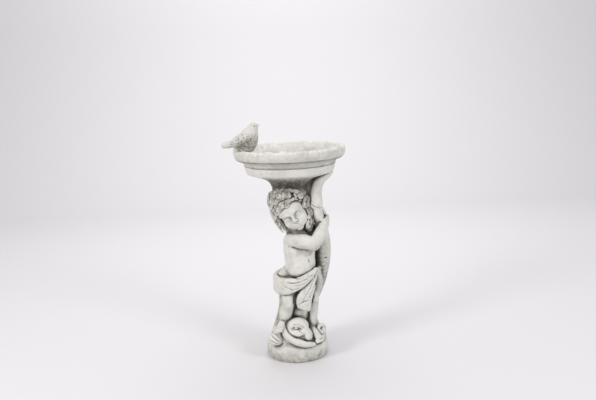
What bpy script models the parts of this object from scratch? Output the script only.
"""A cast-stone bird bath: a cherub stands beside a dolphin on a round base and steadies its
raised tail. The tail's fluke and a flaring neck carry a shallow round bowl, and a small
bird sits on the bowl's rim.

Three castings, one object each: pedestal, bowl and bird.

Frame: +Z up, the front towards -Y, the origin on the ground at the centre of the base.
Lengths below are in millimetres, and MM turns them into Blender's metres. A station of a
limb, a fold or a lock is (x, y, z, radius); a mass is its centre and its three half-sizes.
"""

import math

import bmesh
import bpy
from mathutils import Matrix, Vector

MM = 0.001

# Driving dimensions
BASE_RADIUS = 89.0
BASE_HEIGHT = 47.0
CAP_RADIUS = 127.0
CAP_TOP = 558.7
BOWL_RADIUS = 157.0
RIM_TOP = 604.5
JOINT = 0.3
RIM_LOBES = 22
LOBE_HEIGHT = 2.6

# Turned outlines, as (radius, height), from the axis out and back
BASE_OUTLINE = (
    (0, -6), (80, -6), (84, 1), (87.5, 6), (BASE_RADIUS, 18), (88.5, 33), (85.5, 41), (78, 46),
    (0, BASE_HEIGHT),
)
CAP_OUTLINE = (
    (0, CAP_TOP + 5), (CAP_RADIUS, CAP_TOP + 5), (CAP_RADIUS, CAP_TOP - 3), (125, 548), (122, 537),
    (108, 532), (94, 528), (80, 523), (69, 517), (61, 510), (56, 502), (53, 494), (51, 480),
    (49, 455), (46, 440), (0, 440),
)
BOWL_OUTLINE = (
    (0, CAP_TOP + JOINT), (CAP_RADIUS, CAP_TOP + JOINT), (129.5, 564), (138, 571), (147, 575.5),
    (150.5, 579), (155, 587), (BOWL_RADIUS, 598), (154, RIM_TOP), (146, RIM_TOP), (140, 598),
    (132, 588), (116, 580), (88, 576), (0, 574.5),
)
RIM_CREST = (8, 9)
RIM_SHOULDER = 7

# The cherub's limbs
BENT_LEG = (
    (-16, -22, 228, 25), (-18, -36, 206, 23.5), (-20, -50, 182, 19), (-22, -54, 166, 16.5),
    (-26, -48, 150, 18), (-30, -45, 134, 18), (-34, -44, 118, 14.5), (-38, -46, 107, 12),
    (-44, -60, 105, 12), (-51, -70, 102, 10),
)
BENT_TOES = (Vector((-59, -68, 99)), Vector((16, -6, 7)), Vector((-5, -5, -7)))
STRAIGHT_LEG = (
    (40, -22, 226, 24), (49, -28, 200, 18), (52, -34, 172, 14.5), (51, -33, 150, 12.5),
    (50, -31, 132, 12.5), (47, -32, 108, 11), (45, -36, 86, 9.5), (44, -44, 77, 10),
    (47, -60, 72, 10), (52, -72, 65, 8.5),
)
STRAIGHT_TOES = (Vector((61, -71, 63)), Vector((-13, -3, 1)), Vector((2, -8, -4)))
TRUNK = (
    ((0, -22, 232), (42, 32, 32)), ((-14, -22, 238), (29, 28, 27)), ((17, -35, 277), (44, 38, 37)),
    ((16, -27, 314), (45, 35, 46)), ((14, -2, 300), (42, 24, 60)), ((-8, -24, 342), (20, 22, 20)),
    ((44, -8, 348), (20, 22, 20)), ((15, -62, 266), (30, 14, 20)), ((-18, 10, 224), (24, 22, 26)),
    ((26, 12, 224), (24, 22, 26)), ((2, -55, 320), (15, 8, 11)), ((34, -55, 322), (15, 8, 11)),
    ((-22, -27, 230), (33, 32, 25)),
)
NECK = ((24, -22, 352, 21), (16, -32, 380, 18), (10, -38, 405, 19))
NEAR_ARM = (
    (-7, -30, 345, 20), (8, -50, 348, 20.5), (28, -63, 348, 21), (47, -68, 344, 19),
    (58, -66, 341, 18), (68, -62, 354, 18), (77, -56, 369, 17), (85, -48, 383, 15),
    (91, -37, 395, 13.5),
)
FAR_ARM = ((44, -2, 350, 18), (66, 14, 368, 17), (84, 20, 388, 14.5), (86, 8, 408, 12), (82, -6, 424, 10))
KNUCKLES = (Vector((98, -34, 387)), Vector((97, -6, 390)), Vector((86, 4, 389)))
KNUCKLE_RISE = 6.0

# The masses that back the figure, and the neck of stone behind its head
BACKING = (
    ((2, 24, 40, 50), (0, 24, 120, 38), (4, 20, 200, 34), (12, 8, 260, 28)),
    ((40, 20, 215, 26), (56, 22, 260, 24), (60, 20, 310, 24), (58, 4, 345, 22), (46, -2, 390, 24),
     (38, -6, 430, 24), (40, -10, 480, 25), (40, -4, 520, 30)),
    ((0, 6, 470, 47), (2, 4, 425, 42), (10, 0, 380, 34), (15, -4, 340, 30)),
)

# The dolphin
DOLPHIN_BODY = (
    (14, -30, 124, 18), (28, -8, 142, 20), (46, 8, 165, 20), (62, 8, 193, 18.5), (76, 0, 235, 18.5),
    (85, -4, 285, 20), (86, -10, 335, 20), (80, -22, 378, 18.5), (72, -34, 412, 17), (68, -38, 446, 16.5),
)
FLUKE = (
    (67, -38, 446, 18.5), (70, -38, 462, 17), (72, -38, 480, 15.5), (77, -37, 502, 14.5),
    (87, -36, 520, 14.5), (102, -34, 534, 14),
)
FLUKE_WEB = ((60, -30, 450, 14), (56, -20, 480, 17), (56, -10, 510, 22), (60, -5, 535, 26))
DOLPHIN_HEAD = (
    ((0, -56, 96), (33, 27, 28)), ((10, -36, 135), (21, 16, 14)), ((12, -60, 72), (34, 22, 20)),
    ((-2, -78, 103), (7, 7.5, 6)), ((14, -70, 74), (26, 15, 13)), ((-12, -34, 124), (16, 14, 14)),
)
BROW = ((-14, -75, 104, 3), (-9, -80, 109, 3.6), (-1, -84, 111, 3.8), (8, -83, 107, 3.6), (16, -80, 101, 3))
CHEEK = ((-22, -66, 94, 7.5), (-15, -78, 84, 8.5), (-1, -83, 79, 9), (12, -84, 82, 8.5), (20, -80, 88, 6.5))
SNOUT = ((8, -70, 98, 11), (22, -76, 94, 12), (31, -79, 84, 12.5), (35, -80, 75, 9.5))
LIP = ((-26, -66, 84, 7), (-16, -78, 72, 7), (0, -84, 65, 7), (18, -86, 64, 7), (34, -84, 68, 7), (42, -80, 76, 6))
JAW = (
    (-40, -60, 104, 8), (-33, -70, 92, 9.5), (-24, -78, 78, 9.5), (-12, -83, 66, 9),
    (6, -86, 57, 8.5), (26, -86, 53, 7.5), (42, -82, 56, 6.5), (48, -76, 62, 5),
)
GILL = ((-42, -66, 92, 6), (-34, -76, 78, 6.5), (-24, -81, 62, 5.5))
FIN_DOME = ((-55, -58, 67), (24, 17, 17))
FIN_ROOT = Vector((-32, -76, 74))
FIN_TIPS = (Vector((-77, -56, 77)), Vector((34, -22, -24)))
FIN_RIBS = 5
VOLUTE = (
    (69, -38, 74, 8), (74, -36, 86, 6.5), (71, -38, 95, 5.5), (64, -42, 96, 5), (60, -45, 91, 4.5),
    (63, -48, 86, 4.4),
)
ROCKS = (
    ((-4, -6, 44), (77, 77, 22)), ((-8, -44, 62), (62, 37, 30)), ((-50, -44, 76), (25, 25, 25)),
    ((64, -28, 66), (17, 22, 27)), ((68, -6, 56), (16, 24, 20)), ((62, -50, 60), (17, 19, 14)),
    ((-48, -50, 84), (20, 17, 13)),
)

# The drapery
KNOT = Vector((61, -64, 264))
HIP_FOLDS = 4
HIP_FOLD_RADII = (8.2, 8.7, 8.7, 8.7, 9, 9, 8.5, 7, 4.8)
HEM_FOLDS = (
    ((-50, -40, 226, 3), (-34, -66, 222, 4), (-8, -77, 224, 4.4), (16, -82, 232, 4.6),
     (40, -80, 247, 4), (58, -70, 262, 3)),
    ((-40, -62, 208, 3), (-20, -72, 212, 3.6), (4, -78, 214, 3.8), (24, -81, 226, 3.8), (44, -79, 243, 3)),
)
PANEL_PLEATS = 5
PANEL_HEM = ((6, -70, 166, 4.5), (14, -78, 170, 5), (26, -80, 177, 4.8), (35, -77, 181, 3.5))
PANEL_BACKING = ((26, -48, 192), (16, 18, 30))
SIDE_FOLD = ((64, -60, 258, 9), (68, -48, 234, 12), (64, -38, 208, 13), (60, -30, 190, 10))
FALLING_EDGE = (
    (-40, -4, 226, 12), (-40, -6, 196, 9), (-39, -8, 170, 8), (-46, -8, 131, 8.5),
    (-57, -8, 95, 9), (-67, -12, 66, 9), (-72, -14, 46, 9),
)
BACK_PLEATS = 8

# The head, in a frame of its own: x to the cherub's left, y to the back, z to the crown
HEAD_CENTRE = Vector((5, -47, 430))
HEAD_FORWARD = Vector((-0.20, -0.955, -0.20)).normalized()
HEAD_CROWN = Vector((-0.40, -0.02, 0.91))
SKULL = (
    ((0, 6, 14), (37, 40, 36)), ((0, -6, -12), (31, 27, 31)), ((0, -18, 15), (29, 18.5, 21)),
    ((0, -29, -37), (9, 8.5, 7)), ((0, -33, -26), (14, 8.5, 9)), ((0, -34, -10), (7, 6, 9)),
)
SIDES_OF_FACE = (((16, -20, -19), (15, 15, 14)), ((12, -16, -30), (13, 13, 11)), ((14.6, -26.5, -2.5), (8, 8, 6)))
NOSE = ((0, -34, 4, 3.4), (0, -38, -3, 4.2), (0, -42, -11, 6.2))
LIPS = (
    ((-10, -35, -24.6, 2.4), (0, -41, -23.6, 3.2), (10, -35, -24.6, 2.4)),
    ((-8, -35.5, -29.5, 2.4), (0, -40, -31, 3.4), (8, -35.5, -29.5, 2.4)),
)
HAIR = ((-9, 12, 35), (42, 42, 46))
FRINGE = ((-38, -6, 18, 8.5), (-29, -20, 31, 8.5), (-14, -27, 42, 8.5), (4, -26, 49, 8.5), (20, -18, 50, 8.5))
FRINGE_CURLS = ((-37, -12, 22), (-27, -27, 32), (-11, -33, 41), (6, -32, 48), (18, -25, 50))
NECK_HAIR = ((-46, -28, 440, 17.5), (-38, -30, 416, 17), (-28, -28, 392, 16), (-20, -22, 368, 12))
SIDE_HAIR = ((34, -36, 462, 13.5), (42, -36, 436, 13), (48, -40, 410, 12), (53, -46, 384, 10))
HANGING_LOCKS = (
    ((-59, -32, 450), (-56, -38, 430), (-49, -36, 411), (-41, -34, 392)),
    ((32, -48, 474), (40, -50, 452), (47, -50, 430), (50, -52, 408)),
)
CROWN_LOCKS = 46
LOCK_LENGTH = 31.0
LOCK_RADIUS = 6.4

# The bird
BIRD_MASSES = (
    ((-93.5, -50, 669.5), (12.2, 11.5, 11.7), 0), ((-102, -50, 652), (19.5, 18, 19), 0),
    ((-108, -50, 635), (25, 22, 28), 0), ((-125, -50, 635), (31, 20, 19), 22),
)
BIRD_TAIL = ((-140, -50, 630, 13), (-160, -50, 627, 10.5), (-180, -50, 624, 6))
TAIL_FLATNESS = 0.62
BEAK = ((-86, -50, 672.5, 4.6), (-78.6, -50, 674.4, 1.3))
WINGS = ((-106, 17, 643, 10), (-122, 18, 636, 10.5), (-142, 11, 630, 8), (-158, 5, 628, 4))

# Meshing: the size of the clay's grain, and how many faces each casting keeps
PEDESTAL_GRAIN, PEDESTAL_FACES = 2.0, 7500
BIRD_GRAIN, BIRD_FACES = 1.4, 620
BOWL_SEGMENTS = RIM_LOBES * 3

STONE = (0.62, 0.60, 0.56, 1.0)
DARKER_STONE = (0.52, 0.50, 0.45, 1.0)


def head_axes():
    """Columns: the head's side, back and crown directions in the world."""
    crown = (HEAD_CROWN - HEAD_FORWARD * HEAD_CROWN.dot(HEAD_FORWARD)).normalized()
    return Matrix((crown.cross(HEAD_FORWARD), -HEAD_FORWARD, crown)).transposed()


def on_head(point):
    return HEAD_CENTRE + head_axes() @ Vector(point)


def head_stations(stations):
    return [(*on_head(s[:3]), s[3]) for s in stations]


def through(stations, steps):
    """Catmull-Rom curve through the stations, with the radius carried along as a fourth value."""
    points = [Vector(s) for s in stations]
    ends = [points[0] * 2 - points[1], *points, points[-1] * 2 - points[-2]]
    curve = []
    for a, b, c, d in zip(ends, ends[1:], ends[2:], ends[3:]):
        for step in range(steps):
            t = step / steps
            curve.append(
                (b * 2 + (c - a) * t + (a * 2 - b * 5 + c * 4 - d) * t * t + (b * 3 - a - c * 3 + d) * t**3) / 2
            )
    return curve + [points[-1]]


class Clay:
    """Overlapping closed forms that a remesh later fuses into one skin."""

    def __init__(self):
        self.forms = bmesh.new()

    def mass(self, centre, sizes, axes=None, detail=3):
        """An ellipsoid with the given half-sizes, along axes if they are given."""
        place = Matrix.Translation(Vector(centre) * MM)
        if axes is not None:
            place = place @ axes.to_4x4()
        place = place @ Matrix.Diagonal((*(size * MM for size in sizes), 1))
        bmesh.ops.create_icosphere(self.forms, subdivisions=detail, radius=1, matrix=place)

    def masses(self, masses):
        for centre, sizes in masses:
            self.mass(centre, sizes)

    def limb(self, stations, steps=4, sides=14, flatness=1.0):
        """A round bar of changing radius along a smooth curve, closed by a dome at each end."""
        curve = through(stations, steps)
        centres = [s.to_3d() for s in curve]
        across = Vector((0.31, 0.88, 0.36))
        rings = []
        for index, centre in enumerate(centres):
            ahead = centres[min(index + 1, len(centres) - 1)] - centres[max(index - 1, 0)]
            ahead.normalize()
            across = (across - ahead * across.dot(ahead)).normalized()
            other = ahead.cross(across)
            radius = max(curve[index][3], 0.5)
            ring = []
            for side in range(sides):
                angle = math.tau * side / sides
                spoke = across * math.cos(angle) + other * math.sin(angle)
                spoke.z *= flatness
                ring.append(self.forms.verts.new((centre + spoke * radius) * MM))
            rings.append(ring)
        for first, second in zip(rings, rings[1:]):
            for side in range(sides):
                after = (side + 1) % sides
                self.forms.faces.new((first[side], first[after], second[after], second[side]))
        self.forms.faces.new(rings[0][::-1])
        self.forms.faces.new(rings[-1])
        for centre, radius in ((centres[0], curve[0][3]), (centres[-1], curve[-1][3])):
            self.mass(centre, (radius, radius, radius * flatness), detail=2)

    def turned(self, outline, segments=72):
        """A solid of revolution about the vertical axis."""
        spin_outline(self.forms, outline, segments)

    def fire(self, name, grain, faces, colour, cuts=()):
        """Fuse the forms into one skin, smooth it, thin it to about so many faces and cut its flats."""
        mesh = bpy.data.meshes.new(name)
        self.forms.to_mesh(mesh)
        self.forms.free()
        casting = place_object(name, mesh, colour)
        remesh = casting.modifiers.new("fused skin", "REMESH")
        remesh.mode = "VOXEL"
        remesh.voxel_size = grain * MM
        remesh.use_smooth_shade = True
        smooth = casting.modifiers.new("worn edges", "SMOOTH")
        smooth.iterations = 2
        fused = casting.evaluated_get(bpy.context.evaluated_depsgraph_get()).to_mesh()
        count = sum(len(polygon.vertices) - 2 for polygon in fused.polygons)
        thin = casting.modifiers.new("facets", "DECIMATE")
        thin.ratio = faces / count
        for cut in cuts:
            boolean = casting.modifiers.new(cut.name, "BOOLEAN")
            boolean.operation = "DIFFERENCE"
            boolean.object = cut
        return casting


def spin_outline(forms, outline, segments):
    """Revolve (radius, height) points; a point on the axis becomes a pole. Returns the rings."""
    rings = []
    for radius, height in outline:
        if radius == 0:
            rings.append([forms.verts.new((0, 0, height * MM))])
            continue
        angles = [math.tau * step / segments for step in range(segments)]
        rings.append(
            [forms.verts.new((radius * MM * math.cos(a), radius * MM * math.sin(a), height * MM)) for a in angles]
        )
    new_faces = []
    for low, high in zip(rings, rings[1:]):
        for step in range(segments):
            after = (step + 1) % segments
            if len(low) == 1:
                corners = (low[0], high[after], high[step])
            elif len(high) == 1:
                corners = (low[step], low[after], high[0])
            else:
                corners = (low[step], low[after], high[after], high[step])
            new_faces.append(forms.faces.new(corners))
    if outline[0][1] > outline[-1][1]:
        bmesh.ops.reverse_faces(forms, faces=new_faces)
    return rings


def place_object(name, mesh, colour):
    item = bpy.data.objects.new(name, mesh)
    bpy.context.collection.objects.link(item)
    mesh.materials.append(stone(name + " stone", colour))
    return item


def stone(name, colour):
    material = bpy.data.materials.new(name)
    material.use_nodes = True
    shader = material.node_tree.nodes["Principled BSDF"]
    shader.inputs["Base Color"].default_value = colour
    shader.inputs["Roughness"].default_value = 0.9
    shader.inputs["Metallic"].default_value = 0.0
    return material


def block(name, low, high):
    """A cutter: a box between two heights, wider than the whole work."""
    forms = bmesh.new()
    reach = BOWL_RADIUS + 60
    size = Matrix.Diagonal((2 * reach * MM, 2 * reach * MM, (high - low) * MM, 1))
    middle = Matrix.Translation((0, 0, (low + high) / 2 * MM))
    bmesh.ops.create_cube(forms, size=1, matrix=middle @ size)
    return hidden(name, forms)


def hidden(name, forms):
    mesh = bpy.data.meshes.new(name)
    forms.to_mesh(mesh)
    forms.free()
    cutter = bpy.data.objects.new(name, mesh)
    bpy.context.collection.objects.link(cutter)
    cutter.hide_render = True
    cutter.display_type = "WIRE"
    return cutter


def toes(clay, first, across, forward, count, radius):
    """A row of toes from the little one to the big one."""
    for toe in range(count):
        share = toe / (count - 1)
        root = first + across * share
        size = radius + (1.2 if toe == count - 1 else 0)
        clay.limb([(*root, size), (*(root + forward), size * 0.9)], steps=1, sides=8)


def build_base(clay):
    clay.turned(BASE_OUTLINE)
    clay.masses(ROCKS)
    clay.limb(VOLUTE, sides=10)


def build_figure(clay):
    for stations in BACKING:
        clay.limb(stations)
    clay.masses(TRUNK)
    for stations in (BENT_LEG, STRAIGHT_LEG, NECK, NEAR_ARM, FAR_ARM):
        clay.limb(stations)
    toes(clay, *BENT_TOES, count=5, radius=4.2)
    toes(clay, *STRAIGHT_TOES, count=4, radius=3.6)
    for finger in range(4):
        rise = Vector((0, 0, KNUCKLE_RISE * finger))
        clay.limb([(*(point + rise), 5.0 - 0.4 * joint) for joint, point in enumerate(KNUCKLES)], sides=8)


def build_dolphin(clay):
    for stations in (DOLPHIN_BODY, FLUKE, FLUKE_WEB, BROW, CHEEK, SNOUT, LIP, JAW, GILL):
        clay.limb(stations)
    clay.masses(DOLPHIN_HEAD)
    clay.mass(*FIN_DOME)
    first, spread = FIN_TIPS
    for rib in range(FIN_RIBS):
        tip = first + spread * (rib / (FIN_RIBS - 1))
        middle = (FIN_ROOT + tip) / 2 + Vector((-3, -5, 3))
        clay.limb([(*FIN_ROOT, 4.5), (*middle, 5.4), (*tip, 4.4)], sides=8)


def hip_fold(share):
    """One roll of the cloth round the front of the hips; share runs from the top roll to the bottom one."""
    hang = 239 - 32 * share
    drop = 27 * share
    route = (
        (-30 + 4 * share, 8, hang + 10 - 8 * share), (-48, -6, hang + 5 - 3 * share), (-54, -30, hang + 1),
        (-45, -54, hang - 2), (-24, -67, hang - 3 + 2 * share), (-2, -72, 238 - drop), (18, -76, 243 - drop),
        (38, -76, 254 - 0.75 * drop), tuple(KNOT + Vector((0, 0, 2 - 10 * share))),
    )
    return [(*point, radius) for point, radius in zip(route, HIP_FOLD_RADII)]


def back_fold(share):
    hang = 248 - 34 * share
    return (
        (-26, 14, hang + 4, 8.5), (-5, 30, hang, 11), (30, 30, hang + 2, 11), (60, 8, hang + 8, 9),
        (70, -20, hang + 10, 7), (66, -50, 262 - 16 * share, 5),
    )


def pleat(share):
    """A pleat of the end that hangs between the legs, from the knot down to its tip."""
    tip = Vector((9 + 25 * share, -66 - 3 * math.sin(share * math.pi), 163 - 10 * share))
    middle = Vector((20 + 25 * share, -72 - 3 * math.sin(share * math.pi), 205 - 2 * share))
    lower = (middle + tip) / 2 + Vector((-5 + 3 * share, -1, 0))
    return (
        (59, -68, 252, 4), (46 + 9 * share, -72, 232 - 2 * share, 5.5), (*middle, 7), (*lower, 7.4), (*tip, 7.8),
    )


def back_pleat(share):
    """A long pleat of the cloth that falls behind the legs to the base, on an oval round the back."""
    angle = math.radians(200 - 200 * share)
    levels = ((226, 44, 30, 2, 12), (130, 40, 34, 10, 11), (48, 64, 52, 6, 14))
    return [(wide * math.cos(angle), middle + deep * math.sin(angle), height, radius)
            for height, wide, deep, middle, radius in levels]


def build_drapery(clay):
    for fold in range(HIP_FOLDS):
        clay.limb(hip_fold(fold / (HIP_FOLDS - 1)), sides=12)
        clay.limb(back_fold(fold / (HIP_FOLDS - 1)), sides=12)
    for fold in range(PANEL_PLEATS):
        clay.limb(pleat(fold / (PANEL_PLEATS - 1)), sides=12)
    for fold in range(BACK_PLEATS):
        clay.limb(back_pleat(fold / (BACK_PLEATS - 1)), sides=12)
    for stations in (*HEM_FOLDS, PANEL_HEM, SIDE_FOLD, FALLING_EDGE):
        clay.limb(stations, sides=10)
    clay.mass(KNOT, (9, 8, 10))
    clay.mass(*PANEL_BACKING)


def build_head(clay):
    axes = head_axes()
    for centre, sizes in (*SKULL, HAIR):
        clay.mass(on_head(centre), sizes, axes)
    for side in (-1, 1):
        for (x, y, z), sizes in SIDES_OF_FACE:
            clay.mass(on_head((side * x, y, z)), sizes, axes)
    for stations in (NOSE, *LIPS, FRINGE):
        clay.limb(head_stations(stations), sides=10)
    clay.limb(NECK_HAIR)
    clay.limb(SIDE_HAIR)


def crown_lock(index):
    """A comma-shaped lock laid over the hair, at the index-th place of a golden-angle spiral."""
    centre, sizes = HAIR
    height = 1 - 2 * (index + 0.5) / CROWN_LOCKS
    around = math.radians(index * 137.508 % 360 - 180)
    if height < -0.75 or (abs(around) < 1.15 and height < 0.5):
        return None
    level = math.sqrt(1 - height * height)
    out = Vector((level * math.sin(around), -level * math.cos(around), height))
    heading = math.radians(-90 + 40 * math.sin(index * 2.4))
    turn = math.radians(52 if around < 0 else -52)
    stations = []
    for step in range(7):
        lift = 1.06
        point = Vector(centre) + Vector([size * part * lift for size, part in zip(sizes, out)])
        radius = LOCK_RADIUS * (0.75 + 0.35 * math.sin(math.pi * (step + 1) / 7))
        stations.append((*on_head(point), radius))
        east = Vector((0, 0, 1)).cross(out).normalized()
        north = out.cross(east)
        ahead = east * math.cos(heading) + north * math.sin(heading)
        out = (out + ahead * LOCK_LENGTH / 6 / sizes[0]).normalized()
        heading += turn
    return stations


def build_hair(clay):
    for index in range(CROWN_LOCKS):
        stations = crown_lock(index)
        if stations:
            clay.limb(stations, steps=2, sides=8)
    for number, (x, y, z) in enumerate(FRINGE_CURLS):
        sway = 4 if number % 2 else -4
        curl = (
            (x - 3, y + 8, z + 11, 4.6), (x + sway, y + 1, z + 4, 5), (x - sway, y - 1, z - 3, 4.2), (x, y, z - 8, 2.6),
        )
        clay.limb(head_stations(curl), sides=8)
    for side, row in zip((1, 0.4), HANGING_LOCKS):
        for number, (x, y, z) in enumerate(row):
            sway = 4 if number % 2 else -4
            clay.limb(
                ((x, y, z, 5.6), (x + 3 * side + sway, y - 3, z - 10, 6), (x + 6 * side - sway, y - 2, z - 20, 5),
                 (x + 9 * side + sway, y + 1, z - 28, 3)),
                sides=8,
            )


def build_pedestal():
    clay = Clay()
    build_base(clay)
    build_figure(clay)
    build_dolphin(clay)
    build_drapery(clay)
    build_head(clay)
    build_hair(clay)
    clay.turned(CAP_OUTLINE, 96)
    flats = (block("ground flat", -40, 0), block("cap flat", CAP_TOP, CAP_TOP + 40))
    return clay.fire("pedestal", PEDESTAL_GRAIN, PEDESTAL_FACES, STONE, flats)


def lobed(angle, share=1.0):
    """How far the pinched rim stands up at an angle: even lobes, each a little different."""
    swell = 0.5 + 0.5 * math.cos(RIM_LOBES * angle)
    uneven = 0.75 + 0.25 * math.sin(3 * angle + 1) * math.cos(5 * angle)
    return LOBE_HEIGHT * swell * uneven * share


def build_bowl():
    forms = bmesh.new()
    rings = spin_outline(forms, BOWL_OUTLINE, BOWL_SEGMENTS)
    for number in (*RIM_CREST, RIM_SHOULDER):
        for step, vert in enumerate(rings[number]):
            angle = math.tau * step / BOWL_SEGMENTS
            if number in RIM_CREST:
                vert.co.z += lobed(angle) * MM
            else:
                vert.co.xy *= 1 + lobed(angle, 0.4) / BOWL_RADIUS
    mesh = bpy.data.meshes.new("bowl")
    forms.to_mesh(mesh)
    forms.free()
    mesh.shade_smooth()
    mesh.set_sharp_from_angle(angle=math.radians(50))
    return place_object("bowl", mesh, STONE)


def rim_cutter():
    """The bowl's own outline, larger by the joint and by the height of its lobes, to seat the bird on."""
    grown = [(0, CAP_TOP)]
    for radius, height in BOWL_OUTLINE[6:14]:
        outer = radius > 150
        grown.append((radius + (1.8 if outer else -JOINT), height + (LOBE_HEIGHT + JOINT)))
    forms = bmesh.new()
    spin_outline(forms, [*grown, (0, 574.5 + LOBE_HEIGHT + JOINT)], 96)
    return hidden("rim seat", forms)


def build_bird():
    clay = Clay()
    for centre, sizes, lean in BIRD_MASSES:
        clay.mass(centre, sizes, Matrix.Rotation(math.radians(lean), 3, "Y"))
    clay.limb(BIRD_TAIL, flatness=TAIL_FLATNESS)
    clay.limb(BEAK, sides=8)
    for side in (-1, 1):
        clay.limb([(x, -50 + side * spread, z, radius) for x, spread, z, radius in WINGS])
    return clay.fire("bird", BIRD_GRAIN, BIRD_FACES, DARKER_STONE, [rim_cutter()])


def clear_scene():
    for item in list(bpy.data.objects):
        bpy.data.objects.remove(item)


def main():
    clear_scene()
    build_pedestal()
    build_bowl()
    build_bird()


main()
